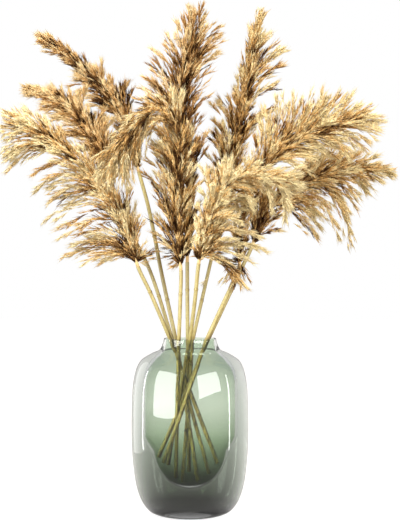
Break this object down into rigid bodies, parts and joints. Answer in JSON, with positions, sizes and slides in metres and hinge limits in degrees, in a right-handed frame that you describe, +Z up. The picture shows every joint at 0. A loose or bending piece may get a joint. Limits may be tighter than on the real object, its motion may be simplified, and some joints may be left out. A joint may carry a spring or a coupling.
{
  "type": "vase of pampas grass",
  "caption": "Thick smoky green glass vase with a flared neck, holding a loose fan of dried pampas reeds whose feathery plumes spread wide.",
  "frame": {"origin": "centre of the vase's flat base, on the surface it stands on", "axes": "+Z up along the vase's axis, -Y towards the side that the arrangement faces, +X to its right"},
  "size_m": [0.5419, 0.237, 0.7165],
  "materials": {
    "smoky_glass": "polished, grey outside, green round the hollow",
    "dry_stalk": "satin straw",
    "dry_pampas": "matt, feathery"
  },
  "bodies": {
    "root": {"vase": "smoky_glass", "stem_1": "dry_stalk", "stem_2": "dry_stalk", "stem_3": "dry_stalk", "stem_4": "dry_stalk", "stem_5": "dry_stalk", "stem_6": "dry_stalk", "stem_7": "dry_stalk", "stem_8": "dry_stalk", "stem_9": "dry_stalk", "plume_1": "dry_pampas", "plume_2": "dry_pampas", "plume_3": "dry_pampas", "plume_4": "dry_pampas", "plume_5": "dry_pampas", "plume_6": "dry_pampas", "plume_7": "dry_pampas", "plume_8": "dry_pampas", "plume_9": "dry_pampas"}
  },
  "joints": []
}
